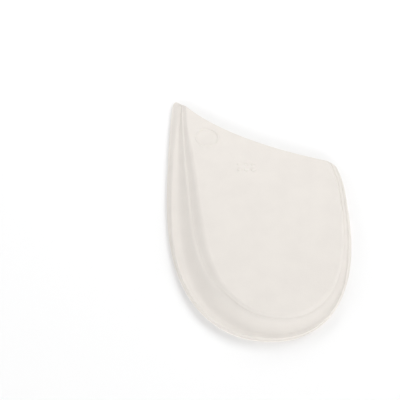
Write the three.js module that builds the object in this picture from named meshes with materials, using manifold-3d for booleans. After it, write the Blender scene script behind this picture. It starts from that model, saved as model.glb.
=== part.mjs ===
// A corrective heel insole that lies on its face, underside up, as it lies on a fitter's bench.
// Millimetres, +Z up. +Y runs from the heel to the front edge, and -X is the thick side.
// Three layers are bonded on each other: the cover that the heel stands on, a moulded base with
// a bevelled edge, and the corrective post, a wedge inlaid in the base that rests in the shoe.
import * as THREE from "three";
import Module from "manifold-3d";

const wasm = await Module();
wasm.setup();

// Outline, measured from the rearmost point of the heel
const thickSideReach = 32.4; // sideways, to the edge of the thick side
const thinSideReach = 28.8; // sideways, to the edge of the thin side
const thickSideRound = 62; // how far forward the heel's curve runs on the thick side
const thinSideRound = 50; // and on the thin side
const heelFullness = 2.18; // exponent of the heel's curve: 2 is an ellipse, more is squarer
const thickSideFullness = 3.2;
const thinSideFullness = 2.75;
const thickCornerForward = 93.6; // where the front edge meets the line of the thick side
const thinCornerForward = 62; // and the line of the thin side
const thickSideLean = 1.2; // the thick side draws in by this much towards the front corner
const thinSideLean = 1.7;
const frontHollowSide = -16.5; // the point that the hollow front edge bends towards
const frontHollowForward = 71.5;
const thickCornerRadius = 6;
const thinCornerRadius = 4;

// Cover: soft sheet with a shallow dish for the heel, its rim all in one plane
const coverThickness = 1.1;
const coverEdgeRound = 0.3;
const rimLand = 1.4; // flat band along the rim that the insole lies on
const dishDepth = 2;
const dishSlope = 14; // how far in from the land the dish reaches its full depth
const dishFrontFade = 30; // the dish runs out over this distance behind the front edge

// Base: moulded layer with a bevelled edge, a flange and the first step
const bondGap = 0.15; // glue line between two layers
const coverLip = 0.4; // the cover stands out past the base by this much
const baseFloor = 0.8; // web under the post
const lipHeight = 2.7; // upper edge of the bevel
const flangeHeight = 2.45; // the flange dips a little inside that edge
const bevelWidth = 3.5; // widest, at the sharp front corner
const stepInset = 8.3; // widest distance from the outline to the top of the first step
const flangeShare = 0.45; // share of that distance, past the bevel, that stays level
const coveRun = 0.55; // the first step is hollow: this share of its run
const coveRise = 0.4; // brings this share of its height
const ledgeWidth = 0.4; // what shows of the base's top round the foot of the post
const frontLip = 1.2; // width of the base's top edge in front of the post

// Post: the corrective wedge
const postHeight = 5.95; // its flat face above the rim plane, in line with the heel
const postAngle = 4; // degrees, rising towards the thick side
const postSlope = 3.5; // widest run of its side wall
const crestRun = 0.6; // the wall rounds over at its crest: this share of its run
const crestRise = 0.7; // brings this share of its height
const stepShare = 0.54; // share of the height above the flange that the first step takes
const taperStart = 40; // the flat face bends down towards the front from here
const taperBlend = 16;
const taperAngle = 5; // degrees
const taperSkew = 0.18; // the bend starts later on the thin side
const postEdge = 0.4; // the least thickness that the wedge is skived to

// Raised marks on the post: a plain ring, and a row of plain pips for the size
const markRise = 0.25;
const markSink = 0.3;
const ringMarkRadius = 4.4;
const ringMarkWidth = 0.8;
const ringMarkPlace = new THREE.Vector2(-18.5, 71.3);
const pipRadius = 0.8;
const pipSpacing = 2.4;
const pipCount = 3;
const pipPlace = new THREE.Vector2(-5.2, 59);

// Fineness of the meshes
const sideStations = 62;
const cornerStations = 3;
const frontStations = 18;
const ringMarkSides = 24;
const pipSides = 10;

// How the steps run along the side, from the sharp front corner (0) round the heel to the
// other front corner (1). Each column is a share of the named size that it follows.
const sections = [
  { along: 0, bevelWidth: 1, stepInset: 0.43, postSlope: 0.12 },
  { along: 0.05, bevelWidth: 0.94, stepInset: 0.55, postSlope: 0.17 },
  { along: 0.1, bevelWidth: 0.79, stepInset: 0.76, postSlope: 0.21 },
  { along: 0.17, bevelWidth: 0.6, stepInset: 0.94, postSlope: 0.41 },
  { along: 0.25, bevelWidth: 0.51, stepInset: 1, postSlope: 0.76 },
  { along: 0.32, bevelWidth: 0.4, stepInset: 0.965, postSlope: 1 },
  { along: 0.38, bevelWidth: 0.26, stepInset: 0.965, postSlope: 0.87 },
  { along: 0.44, bevelWidth: 0.18, stepInset: 0.95, postSlope: 0.59 },
  { along: 0.5, bevelWidth: 0.15, stepInset: 0.88, postSlope: 0.26 },
  { along: 0.56, bevelWidth: 0.17, stepInset: 0.7, postSlope: 0.19 },
  { along: 0.62, bevelWidth: 0.18, stepInset: 0.56, postSlope: 0.27 },
  { along: 0.68, bevelWidth: 0.29, stepInset: 0.475, postSlope: 0.34 },
  { along: 0.74, bevelWidth: 0.38, stepInset: 0.34, postSlope: 0.44 },
  { along: 0.8, bevelWidth: 0.37, stepInset: 0.27, postSlope: 0.36 },
  { along: 0.88, bevelWidth: 0.27, stepInset: 0.19, postSlope: 0.3 },
  { along: 1, bevelWidth: 0.23, stepInset: 0.157, postSlope: 0.13 },
];

const radians = THREE.MathUtils.degToRad;
const { clamp, lerp, smoothstep } = THREE.MathUtils;

// A column of the table at any place along the side, as a smooth curve through its rows
function columnAt(column, along) {
  const place = clamp(along, 0, 1);
  const after = Math.max(1, sections.findIndex((row) => row.along >= place));
  const tangent = (index) => {
    const before = sections[Math.max(index - 1, 0)];
    const next = sections[Math.min(index + 1, sections.length - 1)];
    return (next[column] - before[column]) / (next.along - before.along);
  };
  const from = sections[after - 1];
  const to = sections[after];
  const run = to.along - from.along;
  const t = (place - from.along) / run;
  const rest = 1 - t;
  return (
    from[column] * rest * rest * (1 + 2 * t) + to[column] * t * t * (3 - 2 * t) +
    run * t * rest * (tangent(after - 1) * rest - tangent(after) * t)
  );
}

// The lengths of a line up to each of its points
function runLengths(line) {
  const lengths = [0];
  for (let i = 1; i < line.length; i++) {
    lengths.push(lengths[i - 1] + line[i].distanceTo(line[i - 1]));
  }
  return lengths;
}

// The side of the outline, from beyond the sharp front corner, round the heel, to beyond the
// other front corner
const beyondFront = 12;
function sideLine() {
  const points = [];
  const leanAt = (lean, corner, from, y) => lean * Math.max(0, (y - from) / (corner - from)) ** 2;
  const straight = 16;
  const quarter = 60;
  for (let i = 0; i < straight; i++) {
    const y = lerp(thickCornerForward + beyondFront, thickSideRound, i / straight);
    const lean = leanAt(thickSideLean, thickCornerForward, thickSideRound, y);
    points.push(new THREE.Vector2(lean - thickSideReach, y));
  }
  for (let i = 0; i <= 2 * quarter; i++) {
    const angle = (Math.PI / 2) * (i / quarter - 1);
    const thick = angle < 0;
    const reach = thick ? -thickSideReach : thinSideReach;
    const round = thick ? thickSideRound : thinSideRound;
    const fullness = thick ? thickSideFullness : thinSideFullness;
    const x = reach * Math.abs(Math.sin(angle)) ** (2 / heelFullness);
    points.push(new THREE.Vector2(x, round * (1 - Math.cos(angle) ** (2 / fullness))));
  }
  for (let i = 1; i <= straight; i++) {
    const y = lerp(thinSideRound, thinCornerForward + beyondFront, i / straight);
    const lean = leanAt(thinSideLean, thinCornerForward, thinSideRound, y);
    points.push(new THREE.Vector2(thinSideReach - lean, y));
  }
  return points;
}

// The front edge from the thin side to the thick side, run on past both corners
function frontLine() {
  const thick = new THREE.Vector2(thickSideLean - thickSideReach, thickCornerForward);
  const thin = new THREE.Vector2(thinSideReach - thinSideLean, thinCornerForward);
  const hollow = new THREE.Vector2(frontHollowSide, frontHollowForward);
  const curve = new THREE.QuadraticBezierCurve(thin, hollow, thick).getPoints(60);
  const past = (from, corner) => corner.clone().sub(from).setLength(beyondFront).add(corner);
  return [past(hollow, thin), ...curve, past(hollow, thick)];
}

// A line moved to its left by inset(length up to there)
function movedLine(line, inset) {
  const lengths = runLengths(line);
  return line.map((point, i) => {
    const before = line[Math.max(i - 1, 0)];
    const after = line[Math.min(i + 1, line.length - 1)];
    const along = after.clone().sub(before).normalize();
    const distance = inset(lengths[i]);
    return new THREE.Vector2(point.x - along.y * distance, point.y + along.x * distance);
  });
}

// Where two lines cross first, or last with fromEnd: the segment of each, and the point
function crossing(first, second, fromEnd) {
  const order = first.slice(1).map((_, i) => (fromEnd ? first.length - 2 - i : i));
  for (const i of order) {
    const run = first[i + 1].clone().sub(first[i]);
    for (let j = 0; j < second.length - 1; j++) {
      const other = second[j + 1].clone().sub(second[j]);
      const between = second[j].clone().sub(first[i]);
      const cross = run.cross(other);
      const t = between.cross(other) / cross;
      const u = between.cross(run) / cross;
      if (t >= 0 && t < 1 && u >= 0 && u < 1) {
        return { first: i, second: j, point: first[i].clone().addScaledVector(run, t) };
      }
    }
  }
  throw new Error("the side and the front edge don't meet");
}

// Evenly spaced points of a line between trimStart and trimEnd of its ends
function evenPoints(line, count, trimStart, trimEnd) {
  const lengths = runLengths(line);
  const points = [];
  let i = 1;
  for (let k = 0; k <= count; k++) {
    const at = lerp(trimStart, lengths.at(-1) - trimEnd, k / count);
    while (i < line.length - 1 && lengths[i] < at) i++;
    const t = (at - lengths[i - 1]) / (lengths[i] - lengths[i - 1]);
    points.push(line[i - 1].clone().lerp(line[i], clamp(t, 0, 1)));
  }
  return points;
}

const side = sideLine();
const front = frontLine();

// How far along the side between its two corners a share of the whole drawn line is
const sideLengths = runLengths(side);
const cornerLength = (fromEnd) => {
  const corner = crossing(side, front, fromEnd);
  return sideLengths[corner.first] + side[corner.first].distanceTo(corner.point);
};
const thickCornerLength = cornerLength(false);
const thinCornerLength = cornerLength(true);
const alongSide = (length) =>
  (length - thickCornerLength) / (thinCornerLength - thickCornerLength);

// A closed ring inside the outline: inset(along) from the sides and frontInset from the front
function ring(inset, frontInset) {
  const sides = movedLine(side, (length) => inset(alongSide(length)));
  const fronts = movedLine(front, () => frontInset);
  const start = crossing(sides, fronts, false);
  const end = crossing(sides, fronts, true);
  const sidePart = [start.point, ...sides.slice(start.first + 1, end.first + 1), end.point];
  const frontPart = [end.point, ...fronts.slice(end.second + 1, start.second + 1), start.point];
  const thickRound = Math.max(thickCornerRadius - inset(0), 0.35);
  const thinRound = Math.max(thinCornerRadius - 2 * inset(1), 0.35);
  const along = evenPoints(sidePart, sideStations, thickRound, thinRound);
  const across = evenPoints(frontPart, frontStations, thinRound, thickRound);
  const corner = (from, point, to) =>
    new THREE.QuadraticBezierCurve(from, point, to).getPoints(cornerStations).slice(1, -1);
  return [
    ...along,
    ...corner(along.at(-1), end.point, across[0]),
    ...across,
    ...corner(across.at(-1), start.point, along[0]),
  ];
}

// The place on a line nearest to a point: how far away it is, and how far along the line
function nearestOn(line, lengths, point) {
  const best = { distance: Infinity, length: 0 };
  for (let i = 0; i < line.length - 1; i++) {
    const run = line[i + 1].clone().sub(line[i]);
    const t = clamp(point.clone().sub(line[i]).dot(run) / run.lengthSq(), 0, 1);
    const distance = point.distanceTo(line[i].clone().addScaledVector(run, t));
    if (distance < best.distance) {
      best.distance = distance;
      best.length = lerp(lengths[i], lengths[i + 1], t);
    }
  }
  return best;
}
const nearestSide = (point) => nearestOn(side, sideLengths, point);
const frontLengths = runLengths(front);
const nearestFront = (point) => nearestOn(front, frontLengths, point);

// Heights above the rim plane
function dishHeight(point) {
  const fromSide = smoothstep(nearestSide(point).distance, rimLand, rimLand + dishSlope);
  const fromFront = smoothstep(nearestFront(point).distance, rimLand, rimLand + dishFrontFade);
  return dishDepth * fromSide * fromFront;
}
const coverBack = (point) => dishHeight(point) + coverThickness;
const baseUnder = (point) => coverBack(point) + bondGap;
const postSeat = (point) => baseUnder(point) + baseFloor;
const postUnder = (point) => postSeat(point) + bondGap;

function postTop(point) {
  const past = Math.max(0, point.y - taperSkew * point.x - taperStart);
  const bend = past < taperBlend ? past ** 2 / (2 * taperBlend) : past - taperBlend / 2;
  const flat = postHeight - Math.tan(radians(postAngle)) * point.x;
  return Math.max(flat - Math.tan(radians(taperAngle)) * bend, postUnder(point) + postEdge);
}
const stepTop = (point) => lerp(flangeHeight, postTop(point), stepShare);

// Distances from the outline to each line of the stepped side
const bevelAt = (along) => bevelWidth * columnAt("bevelWidth", along);
const stepAt = (along) => stepInset * columnAt("stepInset", along);
const flangeAt = (along) => lerp(bevelAt(along), stepAt(along), flangeShare);
const flangeDipAt = (along) => lerp(bevelAt(along), flangeAt(along), 0.4);
const coveAt = (along) => lerp(flangeAt(along), stepAt(along), coveRun);
const ledgeAt = (along) => stepAt(along) + ledgeWidth;
const postFootAt = (along) => ledgeAt(along) + bondGap;
const postCrestAt = (along) => postFootAt(along) + postSlope * columnAt("postSlope", along);
const postSlopeAt = (along) => lerp(postFootAt(along), postCrestAt(along), crestRun);
const coveTop = (point) => lerp(flangeHeight, stepTop(point), coveRise);
const slopeTop = (point) => lerp(stepTop(point), postTop(point), crestRise);

// The stepped surface anywhere, such as where the steps run out at the front edge
function steppedHeight(point) {
  const { distance, length } = nearestSide(point);
  const along = alongSide(length);
  const profile = [
    { inset: bevelAt(along), height: lipHeight },
    { inset: flangeDipAt(along), height: flangeHeight },
    { inset: flangeAt(along), height: flangeHeight },
    { inset: coveAt(along), height: coveTop(point) },
    { inset: stepAt(along), height: stepTop(point) },
    { inset: postFootAt(along), height: stepTop(point) },
    { inset: postSlopeAt(along), height: slopeTop(point) },
    { inset: postCrestAt(along), height: postTop(point) },
  ];
  const next = profile.findIndex((row) => row.inset > distance);
  if (next === 0) return lipHeight;
  if (next < 0) return postTop(point);
  const from = profile[next - 1];
  const t = (distance - from.inset) / (profile[next].inset - from.inset);
  return lerp(from.height, profile[next].height, t);
}

// Lifts a flat ring to the heights that height(point, onSide) gives
function lifted(flat, height) {
  return flat.map((point, i) => new THREE.Vector3(point.x, point.y, height(point, i <= sideStations)));
}

// Smaller copies of a ring about the middle of the insole, ending in one point
const middle = new THREE.Vector2(-3, 38);
const insideShares = [0.9, 0.76, 0.58, 0.38, 0.18];
function insideRings(flat, height) {
  const rings = insideShares.map((share) =>
    lifted(flat.map((point) => point.clone().sub(middle).multiplyScalar(share).add(middle)), height)
  );
  return { rings, pole: new THREE.Vector3(middle.x, middle.y, height(middle, false)) };
}

// A closed body through rings with equal numbers of points, from a pole underneath to a pole
// on top
function bodyThrough(underPole, rings, topPole) {
  const count = rings[0].length;
  const positions = [underPole, ...rings.flat(), topPole].flatMap((point) => point.toArray());
  const at = (level, i) => 1 + level * count + (i % count);
  const last = rings.length - 1;
  const faces = [];
  for (let i = 0; i < count; i++) {
    faces.push(0, at(0, i + 1), at(0, i));
    for (let level = 0; level < last; level++) {
      faces.push(at(level, i), at(level, i + 1), at(level + 1, i + 1));
      faces.push(at(level, i), at(level + 1, i + 1), at(level + 1, i));
    }
    faces.push(at(last, i), at(last, i + 1), 1 + rings.length * count);
  }
  const geometry = new THREE.BufferGeometry();
  geometry.setAttribute("position", new THREE.Float32BufferAttribute(positions, 3));
  geometry.setIndex(faces);
  return geometry;
}

// Rings that the under and upper faces of two bonded layers share, so that they stay parallel
const fixed = (distance) => () => distance;
const dishInsets = [rimLand, rimLand + 0.3 * dishSlope, rimLand + 0.65 * dishSlope];
const dishPlans = dishInsets.map((inset) => ring(fixed(inset), inset));
const seatPlan = ring((along) => ledgeAt(along) + 1.2, frontLip + 1.2);

function coverGeometry() {
  const rimPlan = ring(fixed(coverEdgeRound), coverEdgeRound);
  const outline = ring(fixed(0), 0);
  const under = insideRings(dishPlans.at(-1), dishHeight);
  const back = insideRings(dishPlans.at(-1), coverBack);
  const rings = [
    ...under.rings.toReversed(),
    ...dishPlans.toReversed().map((plan) => lifted(plan, dishHeight)),
    lifted(rimPlan, () => 0),
    lifted(outline, () => coverEdgeRound),
    lifted(outline, () => coverThickness - coverEdgeRound),
    lifted(rimPlan, () => coverThickness),
    ...dishPlans.map((plan) => lifted(plan, coverBack)),
    ...back.rings,
  ];
  return bodyThrough(under.pole, rings, back.pole);
}

// A ring of the stepped surface: its own height on the sides, the stepped surface in front
function stepRing(inset, frontInset, sideHeight) {
  return lifted(ring(inset, frontInset), (point, onSide) =>
    onSide ? sideHeight(point) : steppedHeight(point)
  );
}

function baseGeometry() {
  const under = insideRings(dishPlans.at(-1), baseUnder);
  const seat = insideRings(seatPlan, postSeat);
  const acrossLip = (share) => lerp(coverLip + 0.15, frontLip, share);
  const rings = [
    ...under.rings.toReversed(),
    ...dishPlans.toReversed().map((plan) => lifted(plan, baseUnder)),
    lifted(ring(fixed(coverLip), coverLip), () => coverThickness + bondGap),
    stepRing(bevelAt, acrossLip(0), () => lipHeight),
    stepRing(flangeDipAt, acrossLip(0.2), () => flangeHeight),
    stepRing(flangeAt, acrossLip(0.4), () => flangeHeight),
    stepRing(coveAt, acrossLip(0.6), coveTop),
    stepRing(stepAt, acrossLip(0.8), stepTop),
    stepRing(ledgeAt, acrossLip(1), stepTop),
    lifted(ring(ledgeAt, frontLip), postSeat),
    lifted(seatPlan, postSeat),
    ...seat.rings,
  ];
  return bodyThrough(under.pole, rings, seat.pole);
}

function postGeometry() {
  const under = insideRings(seatPlan, postUnder);
  const front = frontLip + bondGap;
  const crest = ring(postCrestAt, front + 0.5);
  const top = insideRings(crest, postTop);
  const rings = [
    ...under.rings.toReversed(),
    lifted(seatPlan, postUnder),
    lifted(ring(postFootAt, front), postUnder),
    stepRing(postFootAt, front, stepTop),
    stepRing(postSlopeAt, front + 0.25, slopeTop),
    lifted(crest, postTop),
    ...top.rings,
  ];
  return bodyThrough(under.pole, rings, top.pole);
}

// A round plan about a place
function roundPlan(place, radius, sides) {
  const plan = [];
  for (let i = 0; i < sides; i++) {
    const angle = (2 * Math.PI * i) / sides;
    plan.push(new THREE.Vector2(Math.cos(angle), Math.sin(angle)).multiplyScalar(radius).add(place));
  }
  return plan;
}

const markTop = (point) => postTop(point) + markRise;
const markUnder = (point) => postTop(point) - markSink;
const onTop = (place, height) => new THREE.Vector3(place.x, place.y, height(place));

// A low round button on the post
function buttonGeometry(place, radius, sides) {
  const foot = roundPlan(place, radius, sides);
  const brow = roundPlan(place, radius - markRise, sides);
  const rings = [lifted(foot, markUnder), lifted(foot, postTop), lifted(brow, markTop)];
  return bodyThrough(onTop(place, markUnder), rings, onTop(place, markTop));
}

const pips = [];
for (let i = 0; i < pipCount; i++) {
  const shift = (i - (pipCount - 1) / 2) * pipSpacing;
  const place = new THREE.Vector2(pipPlace.x + shift, pipPlace.y);
  pips.push(buttonGeometry(place, pipRadius, pipSides));
}

function solidFrom(geometry) {
  const vertProperties = new Float32Array(geometry.attributes.position.array);
  const triVerts = new Uint32Array(geometry.index.array);
  return new wasm.Manifold(new wasm.Mesh({ numProp: 3, vertProperties, triVerts }));
}

function geometryFrom(solid) {
  const mesh = solid.getMesh();
  const geometry = new THREE.BufferGeometry();
  geometry.setAttribute("position", new THREE.BufferAttribute(mesh.vertProperties, 3));
  geometry.setIndex(new THREE.BufferAttribute(mesh.triVerts, 1));
  return geometry;
}

// The post with its marks: a ring is a button less the narrower one inside it
function markedPostGeometry() {
  const outer = solidFrom(buttonGeometry(ringMarkPlace, ringMarkRadius, ringMarkSides));
  const innerRadius = ringMarkRadius - ringMarkWidth;
  const inside = roundPlan(ringMarkPlace, innerRadius, ringMarkSides);
  const high = (point) => markTop(point) + markRise;
  const low = (point) => markUnder(point) - markSink;
  const core = bodyThrough(
    onTop(ringMarkPlace, low),
    [lifted(inside, low), lifted(inside, high)],
    onTop(ringMarkPlace, high)
  );
  const marks = [outer.subtract(solidFrom(core)), ...pips.map(solidFrom)];
  return geometryFrom(marks.reduce((whole, mark) => whole.add(mark), solidFrom(postGeometry())));
}

function piece(name, geometry, material) {
  const mesh = new THREE.Mesh(geometry, material);
  mesh.name = name;
  return mesh;
}

const coverMaterial = new THREE.MeshStandardMaterial({ color: "#d9c3a2", roughness: 0.85 });
const baseMaterial = new THREE.MeshStandardMaterial({ color: "#ebe8e2", roughness: 0.75 });
const postMaterial = new THREE.MeshStandardMaterial({ color: "#eeeae4", roughness: 0.75 });

const insole = new THREE.Group();
insole.add(
  piece("top_cover", coverGeometry(), coverMaterial),
  piece("base_shell", baseGeometry(), baseMaterial),
  piece("post_wedge", markedPostGeometry(), postMaterial)
);

// The frame's origin is under the middle of the outline
const bounds = new THREE.Box3().setFromObject(insole);
const centre = bounds.getCenter(new THREE.Vector3());
insole.position.set(-centre.x, -centre.y, -bounds.min.z);

export default insole;
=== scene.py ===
# %% [markdown]
# A corrective heel insole, lying on its face with the side that rests in the shoe turned up.
# The real one is three layers glued together: a thin beige cover that the heel stands on, a
# moulded off-white base with a stepped edge, and an off-white corrective wedge, also called a
# post, inlaid in the base. The cells below draw the outline, make the layers one by one, and give
# them their finishes. Sizes are in millimetres, as on a pattern cutter's drawing, and become
# metres where a vertex gets its place.

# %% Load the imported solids, which fix every size
import math

import bmesh
import bpy
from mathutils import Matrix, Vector
from mathutils.geometry import intersect_line_line_2d
from mathutils.kdtree import KDTree


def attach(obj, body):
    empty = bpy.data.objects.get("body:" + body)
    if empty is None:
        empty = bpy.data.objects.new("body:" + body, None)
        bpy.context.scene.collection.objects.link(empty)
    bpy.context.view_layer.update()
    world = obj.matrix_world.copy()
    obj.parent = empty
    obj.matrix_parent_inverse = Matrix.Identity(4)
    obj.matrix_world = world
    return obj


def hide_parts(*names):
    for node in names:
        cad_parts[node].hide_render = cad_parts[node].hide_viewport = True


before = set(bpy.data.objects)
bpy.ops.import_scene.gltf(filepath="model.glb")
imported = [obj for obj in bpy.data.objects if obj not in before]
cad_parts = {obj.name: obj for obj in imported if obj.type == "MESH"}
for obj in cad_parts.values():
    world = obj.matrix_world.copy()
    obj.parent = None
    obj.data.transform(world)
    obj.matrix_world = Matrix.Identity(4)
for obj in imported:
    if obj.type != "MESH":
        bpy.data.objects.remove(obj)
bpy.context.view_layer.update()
MM = 0.001

# %% [markdown]
# The outline. A heel is not a circle: it is squarer than an ellipse, and its two sides run
# forward by different lengths. A curve with a free exponent, |x/a|^p + |y/b|^q = 1, draws such
# a heel from a few plain sizes, where a Bezier curve would need a handle for every bend. The
# front edge is one hollow sweep from corner to corner.

# %% Sizes of the outline, from the rearmost point of the heel
thick_side_reach = 32.4
thin_side_reach = 28.8
thick_side_round = 62.0
thin_side_round = 50.0
heel_fullness = 2.18
thick_side_fullness = 3.2
thin_side_fullness = 2.75
thick_corner_forward = 93.6
thin_corner_forward = 62.0
thick_side_lean = 1.2
thin_side_lean = 1.7
front_hollow = Vector((-16.5, 71.5))
thick_corner_radius = 6.0
thin_corner_radius = 4.0
beyond_front = 12.0


# %% Draw the side as a line of close points
def mix(low, high, share):
    return low + (high - low) * share


def lean_at(lean, corner, start, y):
    return lean * max(0.0, (y - start) / (corner - start)) ** 2


def side_line(straight_points=24, quarter_points=120):
    """From beyond the sharp front corner, round the heel, to beyond the other corner."""
    points = []
    for i in range(straight_points):
        y = mix(thick_corner_forward + beyond_front, thick_side_round, i / straight_points)
        lean = lean_at(thick_side_lean, thick_corner_forward, thick_side_round, y)
        points.append(Vector((lean - thick_side_reach, y)))
    for i in range(2 * quarter_points + 1):
        angle = math.pi / 2 * (i / quarter_points - 1)
        thick = angle < 0
        reach = -thick_side_reach if thick else thin_side_reach
        run = thick_side_round if thick else thin_side_round
        fullness = thick_side_fullness if thick else thin_side_fullness
        x = reach * abs(math.sin(angle)) ** (2 / heel_fullness)
        points.append(Vector((x, run * (1 - max(0.0, math.cos(angle)) ** (2 / fullness)))))
    for i in range(1, straight_points + 1):
        y = mix(thin_side_round, thin_corner_forward + beyond_front, i / straight_points)
        lean = lean_at(thin_side_lean, thin_corner_forward, thin_side_round, y)
        points.append(Vector((thin_side_reach - lean, y)))
    return points


# %% Draw the front edge
def bent(start, middle, end, count):
    """Points on the quadratic curve from start to end that bends towards middle."""
    points = []
    for i in range(count + 1):
        t = i / count
        points.append(start.lerp(middle, t).lerp(middle.lerp(end, t), t))
    return points


def front_line(count=90):
    """The front edge from the thin side to the thick side, run on past both corners."""
    thick = Vector((thick_side_lean - thick_side_reach, thick_corner_forward))
    thin = Vector((thin_side_reach - thin_side_lean, thin_corner_forward))
    first = thin + (thin - front_hollow).normalized() * beyond_front
    last = thick + (thick - front_hollow).normalized() * beyond_front
    return [first, *bent(thin, front_hollow, thick, count), last]


def run_lengths(line):
    lengths = [0.0]
    for before, after in zip(line, line[1:]):
        lengths.append(lengths[-1] + (after - before).length)
    return lengths


# %% Draw both, and measure them
side = side_line()
front = front_line()
side_lengths = run_lengths(side)
print("side and front edge, mm:", round(side_lengths[-1], 1), round(run_lengths(front)[-1], 1))


# %% [markdown]
# Every line on the insole follows the outline at some distance: the lip, the steps, the ledge,
# the crest of the wedge. So each one is the same two lines moved inwards and cut where they
# cross, with the corners eased. The points are spread evenly, so that neighbouring rings have
# their points side by side and the faces between them stay square.

# %% Move a line inwards, and find where two lines cross
def moved_line(line, inset):
    """The line moved to its left by inset(length up to there)."""
    moved = []
    for i, length in enumerate(run_lengths(line)):
        before = line[max(i - 1, 0)]
        after = line[min(i + 1, len(line) - 1)]
        along = (after - before).normalized()
        moved.append(line[i] + Vector((-along.y, along.x)) * inset(length))
    return moved


def crossing(first, second, from_end):
    """Where two lines cross: the segment of each, and the point."""
    order = range(len(first) - 1)
    for i in reversed(order) if from_end else order:
        for j in range(len(second) - 1):
            point = intersect_line_line_2d(first[i], first[i + 1], second[j], second[j + 1])
            if point:
                return i, j, point
    raise ValueError("the side and the front edge don't meet")


# %% Space points evenly, and tell how far along the side a place is
def even_points(line, count, trim_start, trim_end):
    """Points at even steps along a line, from trim_start on to trim_end before its end."""
    lengths = run_lengths(line)
    points = []
    i = 1
    for k in range(count + 1):
        at = mix(trim_start, lengths[-1] - trim_end, k / count)
        while i < len(line) - 1 and lengths[i] < at:
            i += 1
        share = (at - lengths[i - 1]) / (lengths[i] - lengths[i - 1])
        points.append(line[i - 1].lerp(line[i], share))
    return points


def corner_length(from_end):
    segment, _, point = crossing(side, front, from_end)
    return side_lengths[segment] + (point - side[segment]).length


thick_corner_length = corner_length(False)
thin_corner_length = corner_length(True)


def along_side(length):
    """0 at the sharp front corner, 1 at the other one."""
    return (length - thick_corner_length) / (thin_corner_length - thick_corner_length)


# %% Close the moved lines into a ring
side_stations = 240
corner_stations = 8
front_stations = 80
least_corner = 0.35
thin_corner_shrink = 2


def ring(inset, front_inset):
    """A closed ring, inset(along) in from the sides and front_inset from the front edge."""
    sides = moved_line(side, lambda length: inset(along_side(length)))
    fronts = moved_line(front, lambda length: front_inset)
    start_side, start_front, start = crossing(sides, fronts, False)
    end_side, end_front, end = crossing(sides, fronts, True)
    side_part = [start, *sides[start_side + 1 : end_side + 1], end]
    front_part = [end, *fronts[end_front + 1 : start_front + 1], start]
    thick_round = max(thick_corner_radius - inset(0), least_corner)
    thin_round = max(thin_corner_radius - thin_corner_shrink * inset(1), least_corner)
    along = even_points(side_part, side_stations, thick_round, thin_round)
    across = even_points(front_part, front_stations, thin_round, thick_round)
    thin_corner = bent(along[-1], end, across[0], corner_stations)[1:-1]
    thick_corner = bent(across[-1], start, along[0], corner_stations)[1:-1]
    return [*along, *thin_corner, *across, *thick_corner]


outline = ring(lambda along: 0.0, 0.0)
middle_x = (min(p.x for p in outline) + max(p.x for p in outline)) / 2
middle_y = (min(p.y for p in outline) + max(p.y for p in outline)) / 2
print("points in a ring:", len(outline))


def metres(point, height):
    """A place of the drawing, in metres from the middle of the outline."""
    return Vector((point.x - middle_x, point.y - middle_y, height)) * MM


# %% [markdown]
# How the steps run along the side. The heel of the wedge is set forward, its slope is long on
# the thick side and short on the thin one, and at the sharp front corner the steps squeeze into
# a bevel. A short table holds that: bevel, step and slope are shares of a named width, and rise
# is the share of the wedge's height that the first step takes. A smooth curve through the rows
# gives the value anywhere between them. A loop of the same width all round would be simpler, but
# no moulded heel has one.

# %% The steps along the side
bevel_width = 3.5
step_inset = 8.3
post_slope = 3.5
flange_share = 0.27
ledge_width = 0.32
sections = [
    {"along": 0.0, "bevel": 1.0, "step": 0.42, "slope": 0.12, "rise": 0.55},
    {"along": 0.05, "bevel": 0.94, "step": 0.49, "slope": 0.44, "rise": 0.5},
    {"along": 0.1, "bevel": 0.79, "step": 0.6, "slope": 0.52, "rise": 0.5},
    {"along": 0.17, "bevel": 0.63, "step": 0.74, "slope": 0.84, "rise": 0.48},
    {"along": 0.25, "bevel": 0.52, "step": 0.91, "slope": 0.92, "rise": 0.5},
    {"along": 0.32, "bevel": 0.42, "step": 0.935, "slope": 1.04, "rise": 0.54},
    {"along": 0.38, "bevel": 0.27, "step": 0.94, "slope": 0.91, "rise": 0.6},
    {"along": 0.44, "bevel": 0.18, "step": 0.915, "slope": 0.69, "rise": 0.72},
    {"along": 0.5, "bevel": 0.15, "step": 0.885, "slope": 0.41, "rise": 0.82},
    {"along": 0.56, "bevel": 0.15, "step": 0.71, "slope": 0.31, "rise": 0.84},
    {"along": 0.62, "bevel": 0.14, "step": 0.565, "slope": 0.48, "rise": 0.78},
    {"along": 0.68, "bevel": 0.14, "step": 0.45, "slope": 0.5, "rise": 0.55},
    {"along": 0.74, "bevel": 0.22, "step": 0.34, "slope": 0.42, "rise": 0.34},
    {"along": 0.8, "bevel": 0.36, "step": 0.305, "slope": 0.39, "rise": 0.3},
    {"along": 0.88, "bevel": 0.32, "step": 0.28, "slope": 0.31, "rise": 0.3},
    {"along": 1.0, "bevel": 0.26, "step": 0.262, "slope": 0.26, "rise": 0.3},
]


# %% Read the table as smooth curves
def column_at(column, along):
    """The column at any place along the side, as a smooth curve through its rows."""
    place = min(max(along, 0.0), 1.0)
    after = max(1, next(i for i, row in enumerate(sections) if row["along"] >= place))

    def tangent(index):
        before = sections[max(index - 1, 0)]
        next_row = sections[min(index + 1, len(sections) - 1)]
        return (next_row[column] - before[column]) / (next_row["along"] - before["along"])

    low, high = sections[after - 1], sections[after]
    run = high["along"] - low["along"]
    t = (place - low["along"]) / run
    rest = 1 - t
    return (
        low[column] * rest * rest * (1 + 2 * t)
        + high[column] * t * t * (3 - 2 * t)
        + run * t * rest * (tangent(after - 1) * rest - tangent(after) * t)
    )


# %% The lines of the stepped edge, as insets from the side
def bevel_at(along):
    return bevel_width * column_at("bevel", along)


def step_at(along):
    return step_inset * column_at("step", along)


def flange_at(along):
    return mix(bevel_at(along), step_at(along), flange_share)


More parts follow.
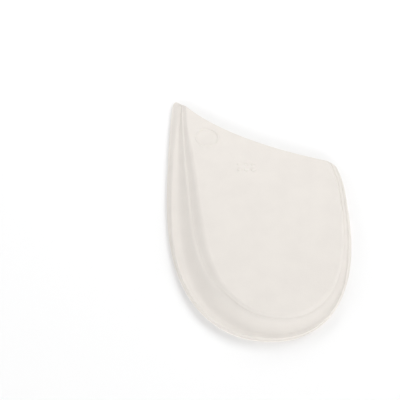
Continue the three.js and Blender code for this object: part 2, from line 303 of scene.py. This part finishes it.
def ledge_at(along):
    return step_at(along) + ledge_width


def crest_at(along):
    return ledge_at(along) + post_slope * column_at("slope", along)


def between(low, high, share):
    """An inset that runs a share of the way from one line to another."""
    return lambda along: mix(low(along), high(along), share)


widest_at = 0.25
print("widest flange and step, mm:", round(flange_at(widest_at), 2), round(step_at(widest_at), 2))

# %% [markdown]
# Heights, above the plane that the rim lies in. The flat of the wedge rises towards one side,
# which is what corrects the foot, and bends down to a thin front edge. A point of the stepped
# edge gets its height from its distance to the side alone, so the same function serves where
# the steps run out at the front edge. A search tree finds that distance.

# %% How far the side is from a point
def search_tree(line, spacing=0.1):
    """A tree of close points on a line, and the length of the line up to each."""
    count = int(run_lengths(line)[-1] / spacing)
    points = even_points(line, count, 0.0, 0.0)
    tree = KDTree(len(points))
    for i, point in enumerate(points):
        tree.insert(point.to_3d(), i)
    tree.balance()
    return tree, run_lengths(points)


side_tree, side_tree_lengths = search_tree(side)
front_tree, _ = search_tree(front)


def nearest_side(point):
    """How far the side is, and how far along it the nearest place is."""
    _, index, distance = side_tree.find(point.to_3d())
    return distance, along_side(side_tree_lengths[index])


def eased(value, low, high):
    """0 up to low, 1 from high on, and a soft S between them."""
    t = min(max((value - low) / (high - low), 0.0), 1.0)
    return t * t * (3 - 2 * t)


# %% Heights of the hidden layers: the dish, the cover's back, and the seat of the wedge
cover_thickness = 1.1
rim_land = 1.4
dish_depth = 2.0
dish_slope = 14.0
dish_front_fade = 30.0
glue = 0.05
base_floor = 0.8


def dish_height(point):
    from_side = eased(nearest_side(point)[0], rim_land, rim_land + dish_slope)
    from_front = eased(front_tree.find(point.to_3d())[2], rim_land, rim_land + dish_front_fade)
    return dish_depth * from_side * from_front


def cover_back(point):
    return dish_height(point) + cover_thickness


def base_under(point):
    return cover_back(point) + glue


def post_seat(point):
    return base_under(point) + base_floor


def post_under(point):
    return post_seat(point) + glue


# %% Height of the wedge: a flat that rises to one side, and bends down to the front
post_height = 5.95
post_angle = math.radians(4)
taper_start = 40.0
taper_blend = 16.0
taper_angle = math.radians(5)
taper_skew = 0.18
least_post = 0.4


def post_top(point):
    past = max(0.0, point.y - taper_skew * point.x - taper_start)
    bend = past**2 / (2 * taper_blend) if past < taper_blend else past - taper_blend / 2
    flat = post_height - math.tan(post_angle) * point.x
    return max(flat - math.tan(taper_angle) * bend, post_under(point) + least_post)


thick_spot = Vector((-25, 30))
thin_spot = Vector((25, 30))
print("wedge at the thick side, mm:", round(post_top(thick_spot), 2))
print("wedge at the thin side, mm:", round(post_top(thin_spot), 2))

# %% [markdown]
# The visible relief. Round the heel the real wedge carries a low rim, and its ledge stands close
# under the flat. Along the thick side the ledge lies lower, and there is no rim. Each slope is
# hollow over a first share of its run and round over a last one, like a mould cut with a ball
# cutter. A Bevel modifier would round both ends alike, so the shares are two plain numbers here.

# %% The rim round the heel
rim_rise = 0.42
rim_width = 12.0
heel_from, heel_full = 0.36, 0.52
heel_wanes, heel_ends = 0.8, 0.95


def heel_share(along):
    """1 round the heel and the thin side, and 0 along the thick side and at the front."""
    return eased(along, heel_from, heel_full) * (1 - eased(along, heel_wanes, heel_ends))


def rimmed_top(point):
    """The flat of the wedge, with the low rim that stands round its heel."""
    distance, along = nearest_side(point)
    left = 1 - min(max(distance - crest_at(along), 0.0) / rim_width, 1.0)
    return post_top(point) + rim_rise * heel_share(along) * left * left


# %% The height of the stepped edge, from the side inwards
lip_height = 2.62
flange_fall = 0.14
cove_hollow = 0.62
cove_round = 0.14
wall_hollow = 0.24
wall_round = 0.46
ledge_climb = 0.2


def step_top(point, along):
    return mix(lip_height, post_top(point), column_at("rise", along))


def rise(share, hollow, rounding):
    """From 0 to 1: hollow over the first share of the run, round over the last, straight between."""
    slope = 1 / (1 - (hollow + rounding) / 2)
    if share < hollow:
        return slope * share**2 / (2 * hollow)
    if share > 1 - rounding:
        return 1 - slope * (1 - share) ** 2 / (2 * rounding)
    return slope * (share - hollow / 2)


def edge_height(point, distance, along):
    """The stepped edge: lip, flange, first step, ledge, wall of the wedge and flat."""
    bevel, flange = bevel_at(along), flange_at(along)
    step, foot, crest = step_at(along), ledge_at(along), crest_at(along)
    if distance < flange:
        return lip_height - flange_fall * max(0.0, distance - bevel)
    if distance < step:
        share = (distance - flange) / (step - flange)
        low = lip_height - flange_fall * (flange - bevel)
        return mix(low, step_top(point, along), rise(share, cove_hollow, cove_round))
    if distance >= crest:
        return rimmed_top(point)
    low, high = step_top(point, along), rimmed_top(point)
    climb = ledge_climb * heel_share(along)
    if distance < foot:
        return mix(low, high, climb * (distance - step) / (foot - step))
    share = (distance - foot) / (crest - foot)
    return mix(low, high, mix(climb, 1, rise(share, wall_hollow, wall_round)))


# %% [markdown]
# One way to make all three layers. A loop of vertices starts as a circle, is laid on a ring of
# the drawing, and is extruded from ring to ring: out along the underside, up over the edge and
# in across the top. Inside the dish the rings shrink about a hub, and the last loop at each end
# is drawn together into a pole. Extruding a loop keeps the layer one closed skin of squares,
# which takes an even finish.

# %% Rings in metres, at the heights of the layers
hub = Vector((-3.0, 38.0))
inner_count = 14
inner_shares = [1 - i / inner_count for i in range(1, inner_count)]


def on_ring(inset, front_inset, height):
    """A ring in metres, at the heights that height(point) gives."""
    return [metres(point, height(point)) for point in ring(inset, front_inset)]


def front_share(station):
    """0 at the stations on the sides, 1 on the front edge, and between them on the corners."""
    last = side_stations + front_stations + 2 * corner_stations
    return eased(min(station - side_stations, last - station), 0, corner_stations)


def on_edge(inset, front_inset, drop=0.0):
    """A ring on the stepped edge: by its own inset on the sides, by nearness elsewhere."""
    places = []
    for i, point in enumerate(ring(inset, front_inset)):
        distance, along = nearest_side(point)
        if 0 < i < side_stations:
            distance = inset(along)
        height = edge_height(point, distance, along)
        places.append(metres(point, height - drop * front_share(i)))
    return places


def inner_rings(inset, front_inset, height):
    """Smaller copies of a ring about the hub, ending in one point."""
    flat = ring(inset, front_inset)
    rings = []
    for share in inner_shares:
        small = [hub.lerp(point, share) for point in flat]
        rings.append([metres(point, height(point)) for point in small])
    return rings, metres(hub, height(hub))


# %% Extrude a loop from ring to ring
weld = 1e-7


def next_loop(bm, loop, places):
    """Extrudes the open loop once and lays the new one on the places."""
    edges = [bm.edges.get(pair) for pair in zip(loop, loop[1:] + loop[:1])]
    made = bmesh.ops.extrude_edge_only(bm, edges=edges)["geom"]
    fresh = {item for item in made if isinstance(item, bmesh.types.BMVert)}
    laid = []
    for vertex, place in zip(loop, places):
        twin = next(e.other_vert(vertex) for e in vertex.link_edges if e.other_vert(vertex) in fresh)
        twin.co = place
        laid.append(twin)
    return laid


def skin(name, under_pole, rings, top_pole):
    """A closed body through the rings, from a pole underneath to a pole on top."""
    bm = bmesh.new()
    loop = bmesh.ops.create_circle(bm, segments=len(rings[0]), radius=1.0)["verts"]
    for vertex, place in zip(loop, rings[0]):
        vertex.co = place
    bottom = loop
    for places in rings[1:]:
        loop = next_loop(bm, loop, places)
    top = next_loop(bm, loop, [top_pole] * len(loop))
    bmesh.ops.pointmerge(bm, verts=top, merge_co=top_pole)
    foot = next_loop(bm, bottom, [under_pole] * len(bottom))
    bmesh.ops.pointmerge(bm, verts=foot, merge_co=under_pole)
    return finished(bm, name)


def finished(bm, name):
    bmesh.ops.remove_doubles(bm, verts=bm.verts, dist=weld)
    bmesh.ops.recalc_face_normals(bm, faces=bm.faces)
    mesh = bpy.data.meshes.new(name)
    bm.to_mesh(mesh)
    bm.free()
    mesh.shade_smooth()
    piece = bpy.data.objects.new(name, mesh)
    bpy.context.scene.collection.objects.link(piece)
    print(name, "faces:", len(mesh.polygons))
    return piece


# %% [markdown]
# The cover is a sheet of napped microfibre on a thin foam. Its face is dished under the heel
# and touches the table along its rim. The edge is ground back underneath, as a cobbler does so
# that it cannot catch, which leaves a line of shade between it and the table. A flat mesh with a
# Solidify modifier would be quicker, but its edge would stand square on the table.

# %% Sizes of the cover, and plain insets and heights
ground_width = 0.75
ground_height = 0.85
edge_round = 0.12
round_steps = 5
dish_steps = 8
dish_shares = [i / dish_steps for i in range(dish_steps + 1)]
dish_share = 0.65
dished_to = rim_land + dish_share * dish_slope


def even(distance):
    return lambda along: distance


def level(height):
    return lambda point: height


def quarter(steps):
    """The sine and cosine of the steps of a quarter turn."""
    turns = [math.pi / 2 * i / steps for i in range(steps + 1)]
    return [(math.sin(turn), math.cos(turn)) for turn in turns]


# %% The cover
def cover_piece():
    insets = [mix(rim_land, dished_to, share) for share in dish_shares]
    under, under_pole = inner_rings(even(dished_to), dished_to, dish_height)
    back, back_pole = inner_rings(even(dished_to), dished_to, cover_back)
    rings = [*reversed(under)]
    rings += [on_ring(even(inset), inset, dish_height) for inset in reversed(insets)]
    for sine, cosine in quarter(round_steps):
        inset = ground_width * (1 - sine)
        rings.append(on_ring(even(inset), inset, level(ground_height * (1 - cosine))))
    for sine, cosine in quarter(round_steps):
        inset = edge_round * (1 - cosine)
        height = cover_thickness - edge_round * (1 - sine)
        rings.append(on_ring(even(inset), inset, level(height)))
    rings += [on_ring(even(inset), inset, cover_back) for inset in insets]
    return skin("heel_cover", under_pole, [*rings, *back], back_pole)


cover = cover_piece()

# %% [markdown]
# The base is moulded, so its lines are drawn by a cutter in the mould: a thin skirt on the cover,
# a wall that leaves it in a hollow and rounds into a lip, a flange that falls a little inwards
# behind the lip, and a hollow step that rises to a narrow ledge round the wedge. A moulded edge
# always has a small round, which is what catches the light. A Bevel modifier would give each line
# one width, so the rounds are rings of their own.

# %% The wall of the base, from the cover up to the lip
skirt_inset = 0.04
skirt_round = 0.22
bevel_steps = 9
bevel_hollow = 0.2
bevel_round = 0.5
front_wall = 0.5
front_lip = 1.2
front_round = 0.45


def front_drop(front_inset):
    """How far a round front edge lies below a sharp one, this far in from the cover's edge."""
    left = max(0.0, 1 - (front_inset - front_wall) / front_round)
    return front_round * (1 - math.sqrt(1 - left * left))


def bevel_rings():
    """The skirt, and the wall from it up to the lip or to the round of the front edge."""
    skirt_foot = cover_thickness + glue
    rings = []
    for sine, cosine in quarter(round_steps):
        inset = skirt_inset + skirt_round * (1 - cosine)
        rings.append(on_ring(even(inset), inset, level(skirt_foot + skirt_round * sine)))
    wall_foot = skirt_inset + skirt_round
    top = on_edge(bevel_at, front_wall, front_round)
    for i in range(1, bevel_steps + 1):
        share = i / bevel_steps
        inset = between(even(wall_foot), bevel_at, share)
        low = on_ring(inset, mix(wall_foot, front_wall, share), level(skirt_foot + skirt_round))
        climb = rise(share, bevel_hollow, bevel_round)
        for place, high in zip(low, top):
            place.z = mix(place.z, high.z, climb)
        rings.append(low)
    return rings


# %% The base
flange_steps = 8
cove_steps = 14
ledge_steps = 3


def base_piece():
    insets = [mix(rim_land, dished_to, share) for share in dish_shares]
    under, under_pole = inner_rings(even(dished_to), dished_to, base_under)
    rings = [*reversed(under)]
    rings += [on_ring(even(inset), inset, base_under) for inset in reversed(insets)]
    rings += bevel_rings()
    lines = [
        (bevel_at, flange_at, flange_steps),
        (flange_at, step_at, cove_steps),
        (step_at, ledge_at, ledge_steps),
    ]
    steps = [between(low, high, i / count) for low, high, count in lines for i in range(count)]
    steps.append(ledge_at)
    for i, step in enumerate(steps[1:], 1):
        front_inset = mix(front_wall, front_lip, i / (len(steps) - 1))
        rings.append(on_edge(step, front_inset, front_drop(front_inset)))
    rings.append(on_ring(ledge_at, front_lip, post_seat))
    seat, seat_pole = inner_rings(ledge_at, front_lip, post_seat)
    return skin("moulded_base", under_pole, [*rings, *seat], seat_pole)


base = base_piece()

# %% [markdown]
# The wedge is a second moulding, glued into the base. Its wall leaves the ledge in a small hollow
# and rounds over into the flat. Round the heel and the thin side the flat ends in a low rim, as
# on the real one, and the light shows it as a soft bright band. It could be one skin with the
# base, but as a body of its own it keeps a true joint line at its foot.

# %% The wedge
wall_steps = 16
front_run = 0.5


def post_piece():
    under, under_pole = inner_rings(ledge_at, front_lip, post_under)
    rings = [*reversed(under), on_ring(ledge_at, front_lip, post_under)]
    for i in range(wall_steps + 1):
        share = i / wall_steps
        rings.append(on_edge(between(ledge_at, crest_at, share), front_lip + front_run * share))
    top, top_pole = inner_rings(crest_at, front_lip + front_run, rimmed_top)
    return skin("corrective_wedge", under_pole, [*rings, *top], top_pole)


post = post_piece()

# %% [markdown]
# Low marks stand on the flat of the wedge. Each is the outline of its section, spun about its
# own axis and then bent to lie on the wedge. Here they are plain: a ring, and six pips. A bump
# in the material would be lighter, but only real relief shows from the side.

# %% Sizes and places of the marks
mark_rise = 0.16
mark_sink = 0.2
mark_fullness = 0.6
ring_mark_place = Vector((-18.5, 71.3))
ring_mark_radius = 4.4
ring_mark_width = 0.8
pip_place = Vector((-5.2, 58.2))
pip_radius = 0.8
pip_spacing = 2.4
pip_columns = 3
pip_rows = 2
mark_segments = 48
mark_weld = 1e-5
on_axis = 1e-6


# %% Spin a section, and bend it to lie on the wedge
def dome(inner, outer, count=8):
    """The section of a raised mark: up from under the surface, over and down again."""
    points = [(inner, -mark_sink)]
    for i in range(count + 1):
        share = i / count
        height = mark_rise * math.sin(math.pi * share) ** mark_fullness
        points.append((mix(inner, outer, share), height))
    return [*points, (outer, -mark_sink)]


def spun(bm, place, section, closed):
    """Spins a section about the upright axis at place, and bends it to lie on the wedge."""
    corners = [bm.verts.new((radius, 0.0, height)) for radius, height in section]
    pairs = list(zip(corners, corners[1:] + corners[:1] if closed else corners[1:]))
    edges = [bm.edges.new(pair) for pair in pairs]
    whole = {"cent": (0, 0, 0), "axis": (0, 0, 1), "angle": 2 * math.pi, "steps": mark_segments}
    before = set(bm.verts) - set(corners)
    bmesh.ops.spin(bm, geom=corners + edges, use_merge=True, **whole)
    made = [vertex for vertex in bm.verts if vertex not in before]
    bmesh.ops.remove_doubles(bm, verts=made, dist=mark_weld)
    for vertex in bm.verts:
        if vertex not in before:
            point = place + vertex.co.to_2d()
            vertex.co = metres(point, post_top(point) + vertex.co.z)


# %% The ring and the pips
def ring_mark_piece():
    bm = bmesh.new()
    inner = ring_mark_radius - ring_mark_width
    spun(bm, ring_mark_place, dome(inner, ring_mark_radius), True)
    return finished(bm, "ring_mark")


def pips_piece():
    bm = bmesh.new()
    half = [p for p in dome(-pip_radius, pip_radius, count=12) if p[0] > on_axis]
    section = [(0.0, mark_rise), *half, (0.0, -mark_sink)]
    for row in range(pip_rows):
        for column in range(pip_columns):
            right = column - (pip_columns - 1) / 2
            forward = row - (pip_rows - 1) / 2
            spun(bm, pip_place + Vector((right, forward)) * pip_spacing, section, False)
    return finished(bm, "size_pips")


ring_mark = ring_mark_piece()
pips = pips_piece()


# %% [markdown]
# Finishes. The mouldings are a matt off-white elastomer whose skin took up the fine grain of the
# mould. The cover is brushed microfibre, which is darker where its nap lies down, and its cut
# edge shows the white foam that the fibre is laminated on. The foam is painted lighter than the
# moulding, as a painted highlight along the outline. Photographs of the stuffs could be wrapped
# round the pieces, but noise on a piece's own coordinates needs no seams and no files.

# %% A helper that strings nodes together
def new_material(name):
    material = bpy.data.materials.new(name)
    material.use_nodes = True
    tree = material.node_tree
    shader = tree.nodes["Principled BSDF"]
    coordinates = tree.nodes.new("ShaderNodeTexCoord")
    return material, tree, shader, coordinates.outputs["Object"]


def noise(tree, vector, scale, detail=3.0, roughness=0.55):
    node = tree.nodes.new("ShaderNodeTexNoise")
    node.inputs["Scale"].default_value = scale
    node.inputs["Detail"].default_value = detail
    node.inputs["Roughness"].default_value = roughness
    tree.links.new(vector, node.inputs["Vector"])
    return node.outputs["Fac"]


def bump(tree, shader, height, distance, strength=1.0):
    node = tree.nodes.new("ShaderNodeBump")
    node.inputs["Distance"].default_value = distance
    node.inputs["Strength"].default_value = strength
    tree.links.new(height, node.inputs["Height"])
    tree.links.new(node.outputs["Normal"], shader.inputs["Normal"])


def tinted(tree, shader, factor, low, high, low_at=0.35, high_at=0.65):
    ramp = tree.nodes.new("ShaderNodeValToRGB")
    ramp.color_ramp.elements[0].position = low_at
    ramp.color_ramp.elements[0].color = (*low, 1)
    ramp.color_ramp.elements[1].position = high_at
    ramp.color_ramp.elements[1].color = (*high, 1)
    tree.links.new(factor, ramp.inputs["Fac"])
    tree.links.new(ramp.outputs["Color"], shader.inputs["Base Color"])


# %% Off-white elastomer
elastomer_low = (0.744, 0.706, 0.664)
elastomer_high = (0.764, 0.726, 0.682)
mottle_scale = 160
mould_grain_scale = 2600
mould_grain_depth = 0.00003


def elastomer(name):
    material, tree, shader, place = new_material(name)
    shader.inputs["Roughness"].default_value = 0.62
    shader.inputs["Specular IOR Level"].default_value = 0.3
    mottle = noise(tree, place, mottle_scale, detail=4.0)
    tinted(tree, shader, mottle, elastomer_low, elastomer_high)
    bump(tree, shader, noise(tree, place, mould_grain_scale, detail=2.0), mould_grain_depth)
    return material


base_finish = elastomer("base_elastomer")
post_finish = elastomer("wedge_elastomer")
base.data.materials.append(base_finish)
for piece in (post, ring_mark, pips):
    piece.data.materials.append(post_finish)


# %% Beige microfibre, and the foam of its cut edge, painted lighter as a highlight
nap_low = (0.60, 0.46, 0.31)
nap_high = (0.68, 0.54, 0.38)
nap_scale = 220
fibre_scale = 4200
fibre_depth = 0.00005
# The foam is white of its own, and is set lighter than the moulding as a painted highlight along the
# edge.
foam_highlight_low = (0.86, 0.82, 0.77)
foam_highlight_high = (0.92, 0.88, 0.84)
foam_scale = 900
foam_pore_scale = 5000
foam_pore_depth = 0.00003


def microfibre(name):
    material, tree, shader, place = new_material(name)
    shader.inputs["Roughness"].default_value = 0.9
    shader.inputs["Specular IOR Level"].default_value = 0.15
    shader.inputs["Sheen Weight"].default_value = 0.35
    shader.inputs["Sheen Roughness"].default_value = 0.6
    nap = noise(tree, place, nap_scale, detail=6.0, roughness=0.7)
    tinted(tree, shader, nap, nap_low, nap_high)
    bump(tree, shader, noise(tree, place, fibre_scale, detail=2.0), fibre_depth)
    return material


def highlight_foam_finish(name):
    material, tree, shader, place = new_material(name)
    shader.inputs["Roughness"].default_value = 0.8
    shader.inputs["Specular IOR Level"].default_value = 0.2
    tinted(tree, shader, noise(tree, place, foam_scale), foam_highlight_low, foam_highlight_high)
    bump(tree, shader, noise(tree, place, foam_pore_scale, detail=1.0), foam_pore_depth)
    return material


# %% Fibre on the faces of the cover that look down, foam with its painted highlight on the others
cover.data.materials.append(microfibre("beige_microfibre"))
cover.data.materials.append(highlight_foam_finish("cut_foam_painted_highlight"))
# These faces take the foam, whose light colour is partly a painted highlight.
foam_highlight_from = -0.8
cut_faces = 0
for face in cover.data.polygons:
    if face.normal.z > foam_highlight_from:
        face.material_index = 1
        cut_faces += 1
print("faces of the cut edge and back:", cut_faces)

# %% [markdown]
# Each piece moves with the one body of the frame. The imported solids of the three layers are
# hidden, and the new pieces take their place.

for piece in (cover, base, post, ring_mark, pips):
    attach(piece, "root")
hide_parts("top_cover")
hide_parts("base_shell")
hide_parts("post_wedge")

# %% [markdown]
# The table is white and the room a light grey, as for a catalogue picture. Soft lamps stand
# round the table in a low ring and a higher one. The strongest are the low one in front, which
# keeps the heel's slopes bright, and the high one at the back right, which leaves the wall on
# the long side grey. A small near lamp behind brightens the front end.

# %% A lamp aimed at the insole
lamp_distance = 1.5
lamp_size = 0.8


def area_lamp(name, turn, height, power, distance=lamp_distance, size=lamp_size):
    """A round lamp: turn in degrees from the right, height in degrees above the table."""
    turn, height = math.radians(turn), math.radians(height)
    out = math.cos(height)
    way = Vector((math.cos(turn) * out, math.sin(turn) * out, math.sin(height)))
    lamp = bpy.data.lights.new(name, "AREA")
    lamp.shape = "DISK"
    lamp.size = size
    lamp.energy = power
    holder = bpy.data.objects.new(name, lamp)
    holder.location = way * distance
    holder.rotation_euler = way.to_track_quat("Z", "Y").to_euler()
    bpy.context.scene.collection.objects.link(holder)


# %% The table and the room
table_half = 2.0
table_white = (0.93, 0.93, 0.93, 1)
room_colour = (1, 1, 1, 1)
room_strength = 0.2


def table_top():
    bm = bmesh.new()
    bmesh.ops.create_grid(bm, x_segments=1, y_segments=1, size=table_half)
    mesh = bpy.data.meshes.new("table_top")
    bm.to_mesh(mesh)
    bm.free()
    table = bpy.data.objects.new("table_top", mesh)
    bpy.context.scene.collection.objects.link(table)
    material, _, shader, _ = new_material("white_table")
    shader.inputs["Base Color"].default_value = table_white
    shader.inputs["Roughness"].default_value = 0.9
    shader.inputs["Specular IOR Level"].default_value = 0.1
    mesh.materials.append(material)


table_top()
room = bpy.data.worlds.new("white_room")
room.use_nodes = True
room.node_tree.nodes["Background"].inputs["Color"].default_value = room_colour
room.node_tree.nodes["Background"].inputs["Strength"].default_value = room_strength
bpy.context.scene.world = room
bpy.context.scene.view_settings.view_transform = "Standard"

# %% The lamps
high_ring = 45
low_ring = 22
area_lamp("right", 0, high_ring, 1.8)
area_lamp("back_right", 45, high_ring, 7.1)
area_lamp("back", 90, high_ring, 1.6)
area_lamp("left", 180, high_ring, 0.8)
area_lamp("front_right", 315, high_ring, 1.2)
area_lamp("low_right", 0, low_ring, 3.5)
area_lamp("low_back", 90, low_ring, 2.6)
area_lamp("low_back_left", 135, low_ring, 1.6)
area_lamp("low_left", 180, low_ring, 5.1)
area_lamp("low_front_left", 225, low_ring, 3.2)
area_lamp("low_front", 270, low_ring, 8.2)
area_lamp("low_front_right", 315, low_ring, 3.5)
area_lamp("near_back", 90, 35, 0.16, distance=0.3, size=0.12)
print("lamps:", len(bpy.data.lights))

# %% [markdown]
# The camera looks down at sixty degrees along the insole, from the heel, as in the photograph.
# The focal length in pixels was found by matching the outline, and becomes millimetres of lens
# on the usual 36 mm sensor.

# %% Camera
photo_side = 400
focal_pixels = 484
sensor = 36.0
camera_place = (-0.0192, -0.08015, 0.1435)
camera_tilt = math.radians(30)
camera_data = bpy.data.cameras.new("photo_camera")
camera_data.sensor_width = sensor
camera_data.lens = sensor * focal_pixels / photo_side
camera = bpy.data.objects.new("photo_camera", camera_data)
camera.location = camera_place
camera.rotation_euler = (camera_tilt, 0, 0)
camera_data.clip_start = 0.01
bpy.context.scene.collection.objects.link(camera)
bpy.context.scene.camera = camera
print("lens, mm:", round(camera_data.lens, 2))
